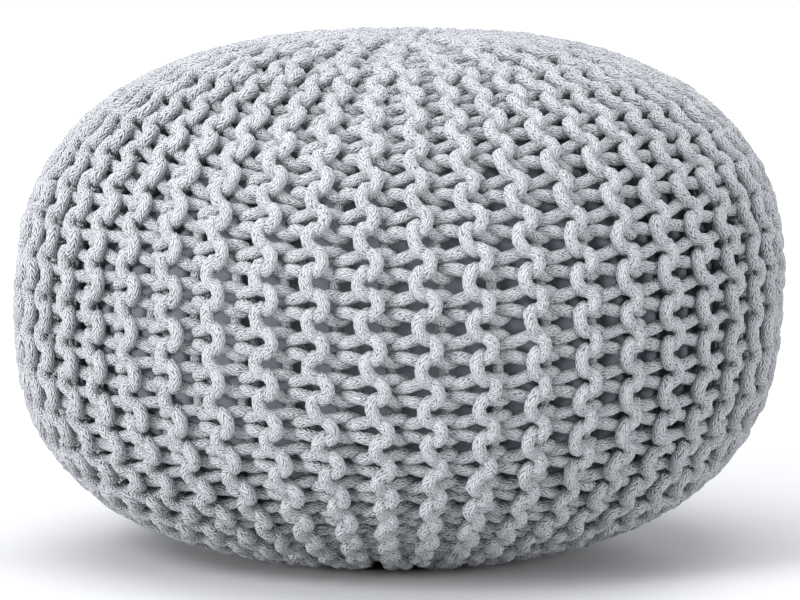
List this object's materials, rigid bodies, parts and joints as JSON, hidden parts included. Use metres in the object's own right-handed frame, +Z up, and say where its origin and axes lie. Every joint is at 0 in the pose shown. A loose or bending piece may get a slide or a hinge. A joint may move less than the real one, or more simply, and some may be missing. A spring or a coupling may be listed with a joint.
{
  "type": "pouf",
  "caption": "Round knitted floor pouf: thick cord cover in garter-stitch ribs from pole to pole, gathered at top and bottom over a filled casing, flat underneath.",
  "frame": {"origin": "on the floor, under the middle of the pouf", "axes": "+Z up through the gathered crown, -Y towards the pictured front, +X to its right"},
  "size_m": [0.5001, 0.4994, 0.3369],
  "materials": {
    "knit_cord": "matte light grey knitted cotton cord",
    "casing_cloth": "matte mid grey plain-woven cloth"
  },
  "bodies": {
    "root": {"knit_cover": "knit_cord", "inner_casing": "casing_cloth"}
  },
  "joints": []
}
